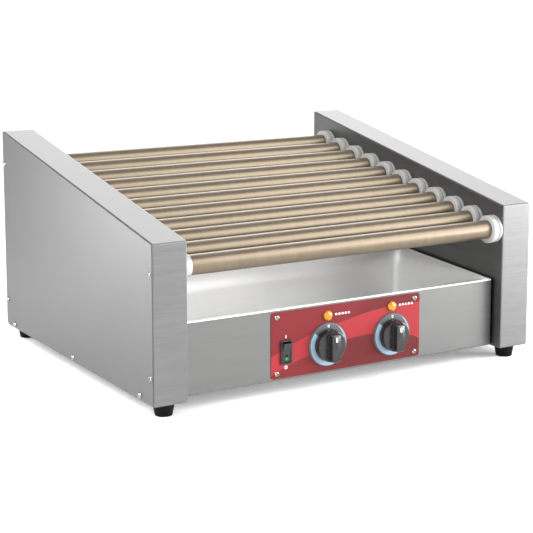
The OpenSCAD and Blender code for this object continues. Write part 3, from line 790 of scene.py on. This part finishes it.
dot_radius, dot_pitch, first_dot = 1.5, 4.9, 13.3
dot = ink_slab("dot", circle_line(0, 0, dot_radius * MM), y=0)
for label in ("front", "rear"):
    low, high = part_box(label + "_indicator_lamp")
    lamp_x, lamp_z = (low.x + high.x) / 2, (low.z + high.z) / 2
    row = grown(label + "_dot_row", in_a_row, {
        "Shape": dot, "Count": 5, "Step": Vector((dot_pitch * MM, 0, 0)), "Material": white_ink,
        "Start": Vector((lamp_x + first_dot * MM, plate_face, lamp_z + 0.3 * MM))})
    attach(row, "chassis")
bpy.data.objects.remove(dot)
bezel_low, bezel_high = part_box("rocker_bezel")
switch_x = (bezel_low.x + bezel_high.x) / 2
mark_on = ink_slab("on_mark", [(switch_x + x * MM, bezel_high.z + z * MM) for x, z in
                               ((-0.5, 2.2), (0.5, 2.2), (0.5, 6.4), (-0.5, 6.4))])
ring_z = bezel_low.z - 4.4 * MM
mark_off = ink_slab("off_mark", circle_line(switch_x, ring_z, 2.3 * MM),
                    circle_line(switch_x, ring_z, 1.4 * MM))
for mark in (mark_on, mark_off):
    add_to(mark, white_ink, "chassis")
print("printed marks made")

# %% [markdown]
# ## Dials
# Each knob stands on a dark grey moulded ring. A pale wedge printed round the ring shows the
# heat: it starts as a thin line at the upper right, grows clockwise under the knob and ends
# squared off at the upper left. A zero marks OFF at the top.

# %% Dial rings with the heat wedge
dial_plastic = drifting_finish("moulded_abs_dial_grey", "#3A3D40", "#4C5053", (0.42, 0.55), 1.5,
                               0.02)
wedge_ink = drifting_finish("pale_blue_grey_ink", "#7F96A8", "#91A8B9", (0.4, 0.5), 3)
wedge_start, wedge_sweep, wedge_steps = 55, 275, 60
wedge_outer, wedge_thin, wedge_growth = 27.3, 26.6, 7.6
zero_rise = 24.6


def tall_circle(x, z, radius, stretch):
    """A circle's points, stretched upwards about its middle."""
    return [(px, z + (pz - z) * stretch) for px, pz in circle_line(x, z, radius)]


for label in ("front", "rear"):
    low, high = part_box(label + "_dial_ring")
    centre = (low + high) / 2
    outer = (high.x - low.x) / 2 / MM
    loop = rounded_profile([(8, 0), (8, 2.5), (outer - 1.4, 2.5), (outer, 1.4), (outer, 0)], 0.7, 4)
    ring = turned(label + "_dial", loop + [Vector((8, 0))], (centre.x, high.y, centre.z),
                  (0, -1, 0), 72)
    settle(ring, dial_plastic, label + "_dial_ring")
    bm = bmesh.new()
    ring_face = low.y - ink_proud * MM
    previous = None
    for k in range(wedge_steps + 1):
        t = k / wedge_steps
        a = math.radians(wedge_start - wedge_sweep * t)
        inner_r = (wedge_thin - wedge_growth * t ** 0.8) * MM
        outer_r = wedge_outer * MM
        pair = [bm.verts.new((centre.x + r * math.cos(a), ring_face, centre.z + r * math.sin(a)))
                for r in (inner_r, outer_r)]
        if previous:
            bm.faces.new((previous[0], previous[1], pair[1], pair[0]))
        previous = pair
    wedge = piece_from(label + "_heat_wedge", thickened(bm, (0, (ink_proud + 0.02) * MM, 0)))
    add_to(wedge, wedge_ink, "chassis")
    zero_z = centre.z + zero_rise * MM
    zero = ink_slab(label + "_zero_mark", tall_circle(centre.x, zero_z, 1.45 * MM, 1.35),
                    tall_circle(centre.x, zero_z, 0.8 * MM, 1.6), y=low.y)
    add_to(zero, white_ink, "chassis")
print("dials made")

# %% [markdown]
# ## Knobs
# A knob is moulded in glossy black plastic: a round base with soft edges and a bar grip across
# it, widest at its root, with a flat front and a white pointer set in its upper end.

# %% Glossy black plastic and the knobs
black_gloss = drifting_finish("glossy_black_abs", "#0F0F10", "#1A1A1B", (0.2, 0.32), 4, 0.006,
                              Coat_Weight=0.15, Coat_Roughness=0.12)


def grip_bmesh():
    """The bar grip as stacked outlines (half width, lower end, upper end, height)."""
    bm = bmesh.new()
    layers = ((9.5, -20.3, 20.3, 7.0), (8.1, -20.2, 20.1, 10.0), (7.1, -19.9, 19.3, 13.5),
              (6.7, -19.5, 17.9, 17.0), (6.4, -19.1, 16.4, 19.2), (5.6, -18.4, 15.3, 19.9))
    rings = []
    for half, low_end, high_end, height in layers:
        corner = half * 0.4
        outline = []
        for cx, cz, start in ((half - corner, high_end - corner, 0),
                              (corner - half, high_end - corner, 90),
                              (corner - half, low_end + corner, 180),
                              (half - corner, low_end + corner, 270)):
            outline += [(cx + corner * math.cos(math.radians(start + 18 * k)),
                         cz + corner * math.sin(math.radians(start + 18 * k))) for k in range(6)]
        rings.append([bm.verts.new((x * MM, z * MM, height * MM)) for x, z in outline])
    for lower, upper in zip(rings, rings[1:]):
        for k in range(len(lower)):
            nxt = (k + 1) % len(lower)
            bm.faces.new((lower[k], lower[nxt], upper[nxt], upper[k]))
    bm.faces.new(rings[0])
    bm.faces.new(rings[-1])
    bmesh.ops.recalc_face_normals(bm, faces=bm.faces)
    return bm


pointer_height, pointer_deep = 19.95, 0.3
for label in ("front", "rear"):
    low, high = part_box(label + "_knob")
    root = Matrix.Translation(((low.x + high.x) / 2, high.y, (low.z + high.z) / 2))
    place = root @ axis_turn((0, -1, 0))
    facing = place.to_3x3() @ Vector((0, 1, 0))
    spin = Matrix.Rotation(math.pi if facing.z < 0 else 0, 4, (0, 0, 1))
    base = turned_bmesh(rounded_profile([(10, 0), (21.6, 0), (20.7, 10), (0, 10.4)], 1.8, 4), 64)
    base.transform(place)
    piece = piece_from(label + "_knob_base", base, 50)
    grip = grip_bmesh()
    grip.transform(place @ spin)
    settle(piece, black_gloss, label + "_knob")
    handle = piece_from(label + "_knob_grip", grip, 32)
    add_to(handle, black_gloss, label + "_control")
    pointer = bmesh.new()
    for x, z in ((-1.2, 7.4), (1.2, 7.4), (1.2, 13.6), (-1.2, 13.6)):
        pointer.verts.new((x * MM, z * MM, pointer_height * MM))
    pointer.faces.new(pointer.verts)
    thickened(pointer, (0, 0, -pointer_deep * MM))
    pointer.transform(place @ spin)
    add_to(piece_from(label + "_knob_pointer", pointer), white_ink, label + "_control")
print("knobs made")

# %% [markdown]
# ## Lamps and switch
# The lamps are moulded amber acrylic domes over a pale inner cup, and the rocker has a glossy
# black frame and paddle with a small green lens. Acrylic has an IOR of 1.49 and takes the light
# in, so a dome looks darker at its rim and bright where the light leaves it.

# %% Amber domes
amber = drifting_finish("amber_acrylic", "#BC7A00", "#D29A00", (0.06, 0.12), 5,
                        Transmission_Weight=0.2, IOR=1.49, Coat_Weight=0.6, Coat_Roughness=0.05)
cup = drifting_finish("pale_lamp_cup", "#B07A0E", "#DCAE3A", (0.3, 0.4), 3, Metallic=0.4)
for label in ("front", "rear"):
    low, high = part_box(label + "_indicator_lamp")
    lamp_r = (high.x - low.x) / 2 / MM
    seat = Vector(((low.x + high.x) / 2, plate_face, (low.z + high.z) / 2))
    dome = [(lamp_r * math.cos(math.radians(a)), 1.2 + 3.4 * math.sin(math.radians(a)))
            for a in range(0, 85, 6)] + [(0, 4.6)]
    loop = [(0, -12), (4.8, -12), (4.8, 0), (lamp_r, 0), (lamp_r, 0.6)] + dome
    lens = turned(label + "_lamp_dome", loop, seat, (0, -1, 0), 40)
    settle(lens, amber, label + "_indicator_lamp")
    well = [(0, 0.5), (3.2, 0.6), (5.2, 1.0), (5.6, 1.4), (5.7, 0.3), (0, 0.2)]
    add_to(turned(label + "_lamp_cup", well, seat, (0, -1, 0), 32), cup, "chassis")

# %% Rocker switch
black_frame = drifting_finish("moulded_black_pbt", "#161617", "#232425", (0.38, 0.5), 1.4, 0.012)
green = drifting_finish("green_acrylic", "#12804A", "#1FA866", (0.1, 0.16), 4, IOR=1.49,
                        Transmission_Weight=0.25, Coat_Weight=0.5)
folded("rocker_frame", "rocker_bezel", black_frame, bend=0.5, broken=0.2, thin=1.2, shortest=1.5)
folded("rocker_key", "rocker_paddle", black_gloss, bend=0.5, broken=0.3, thin=1.0, shortest=1.5)
folded("rocker_window", "rocker_lens", green, bend=0.25, broken=0.2, thin=0.1, shortest=0.1)
print("lamps and switch made")

# %% [markdown]
# ## Feet
# Four moulded rubber feet taper to the counter, with a rounded foot and a recess for the screw.

# %% Rubber feet
rubber = drifting_finish("moulded_nitrile_rubber", "#040404", "#0A0A0A", (0.55, 0.7), 2.0, 0.03,
                         Specular_IOR_Level=0.1)
bm = bmesh.new()
for low, high in loose_centres("rubber_feet"):
    top_r, tall = (high.x - low.x) / 2 / MM, (high.z - low.z) / MM
    loop = rounded_profile([(2.7, 7), (5.5, 7), (5.5, 0), (11, 0), (top_r - 0.2, tall - 1.2),
                            (top_r - 0.2, tall), (2.7, tall)], 1.1, 4)
    one = turned_bmesh(loop + [Vector((2.7, 7))], 40)
    mesh = bpy.data.meshes.new("foot")
    one.transform(Matrix.Translation(((low.x + high.x) / 2, (low.y + high.y) / 2, 0)))
    one.to_mesh(mesh)
    one.free()
    bm.from_mesh(mesh)
    bpy.data.meshes.remove(mesh)
settle(piece_from("rubber_feet_turned", bm, 50), rubber, "rubber_feet")
print("feet made")

# %% [markdown]
# ## Inner works
# What shows only through gaps keeps its CAD shape and gets the finish of the real thing: zinc
# plate, oiled chain, heat-tinted element tube, grey enamel and glazed ceramic.

# %% Finishes for the inner works
zinc = drifting_finish("zinc_plated_steel", "#8E9092", "#B4B6B6", (0.3, 0.42), 4, 0.01,
                       Metallic=1.0)
inner_finishes = {
    "zinc_steel": zinc,
    "tray_stainless": panel_steel,
    "brushed_stainless": panel_steel,
    "chain_steel": drifting_finish("oiled_chain_steel", "#3A3733", "#5A554E", (0.25, 0.5), 3, 0.03,
                                   Metallic=1.0),
    "element_sheath": drifting_finish("heat_tinted_sheath", "#4E443C", "#7C6A58", (0.35, 0.55), 8,
                                      0.02, Metallic=0.9),
    "motor_paint": drifting_finish("grey_motor_enamel", "#33363A", "#43474B", (0.35, 0.5), 2, 0.03),
    "terminal_ceramic": drifting_finish("glazed_ceramic", "#CFC8B8", "#E2DCCD", (0.15, 0.25), 5,
                                        0.02, Coat_Weight=0.5),
    "black_plastic": black_frame,
}
for node, piece in nodes.items():
    if slot_of[node] in inner_finishes and not piece.hide_render:
        piece.data.materials.clear()
        piece.data.materials.append(inner_finishes[slot_of[node]])
print("inner works:", len(inner_finishes), "finishes")

# %% [markdown]
# ## Studio
# A pale floor and soft light. Brushed steel shows what stands round it, so most lamps are large
# and their edges melt away in the grain. A wide sun from high behind brightens the tops, and a
# softbox at the front right draws the long highlight on each roller. A low lamp further right
# lights the fronts and the plate. At the left, a tall strip and a small fill light the cover, and
# one lamp lights the floor that the cover mirrors. The paper floor glows a little, which keeps it
# white where the lamps fade.

# %% Floor, world and lamps
floor_mesh = bpy.data.meshes.new("floor")
floor_half = 40
floor_mesh.from_pydata([(x * floor_half, y * floor_half, 0) for x, y in
                        ((-1, -1), (1, -1), (1, 1), (-1, 1))], [], [(0, 1, 2, 3)])
floor = bpy.data.objects.new("floor", floor_mesh)
bpy.context.scene.collection.objects.link(floor)
paper = drifting_finish("matt_white_paper", "#F4F4F4", "#F8F8F8", (0.9, 0.95), 40,
                        Emission_Color=(1, 1, 1, 1), Emission_Strength=0.2)
floor_mesh.materials.append(paper)

world = bpy.data.worlds.new("studio")
world.use_nodes = True
bpy.context.scene.world = world
world.node_tree.nodes["Background"].inputs["Color"].default_value = srgb("#FFFFFF")
world.node_tree.nodes["Background"].inputs["Strength"].default_value = 0.72


def lamp(name, kind, place, aim, power, **settings):
    """A light at place that looks at aim and that the camera doesn't see. Power is in
    watts, or for a sun in watts a square metre."""
    data = bpy.data.lights.new(name, kind)
    data.energy = power
    for key, value in settings.items():
        setattr(data, key, value)
    holder = bpy.data.objects.new(name, data)
    holder.location = place
    holder.visible_camera = False
    holder.rotation_euler = (Vector(aim) - Vector(place)).to_track_quat("-Z", "Y").to_euler()
    bpy.context.scene.collection.objects.link(holder)


middle = (0, 0, 0.15)
lamp("back_sky", "SUN", (1.4, 2.1, 1.25), middle, 1.05, angle=math.radians(36))
lamp("front_softbox", "AREA", (1.6, -1.91, 1.5), middle, 74, shape="RECTANGLE", size=1.8,
     size_y=2.3)
lamp("right_low", "AREA", (2.25, -1.5, 0.33), middle, 62, shape="RECTANGLE", size=1.2, size_y=0.5)
lamp("left_strip", "AREA", (-2.2, -1.25, 0.5), middle, 12, shape="RECTANGLE", size=0.4, size_y=1.0)
lamp("left_fill", "AREA", (-0.85, 0.55, 0.2), (-0.29, -0.15, 0.12), 2.6, shape="RECTANGLE",
     size=0.35, size_y=0.35)
lamp("left_floor", "AREA", (-0.95, -0.35, 0.75), (-0.45, -0.15, 0), 11, shape="RECTANGLE", size=0.5,
     size_y=0.5)

# %% Finish
bpy.context.scene.view_settings.view_transform = "Standard"
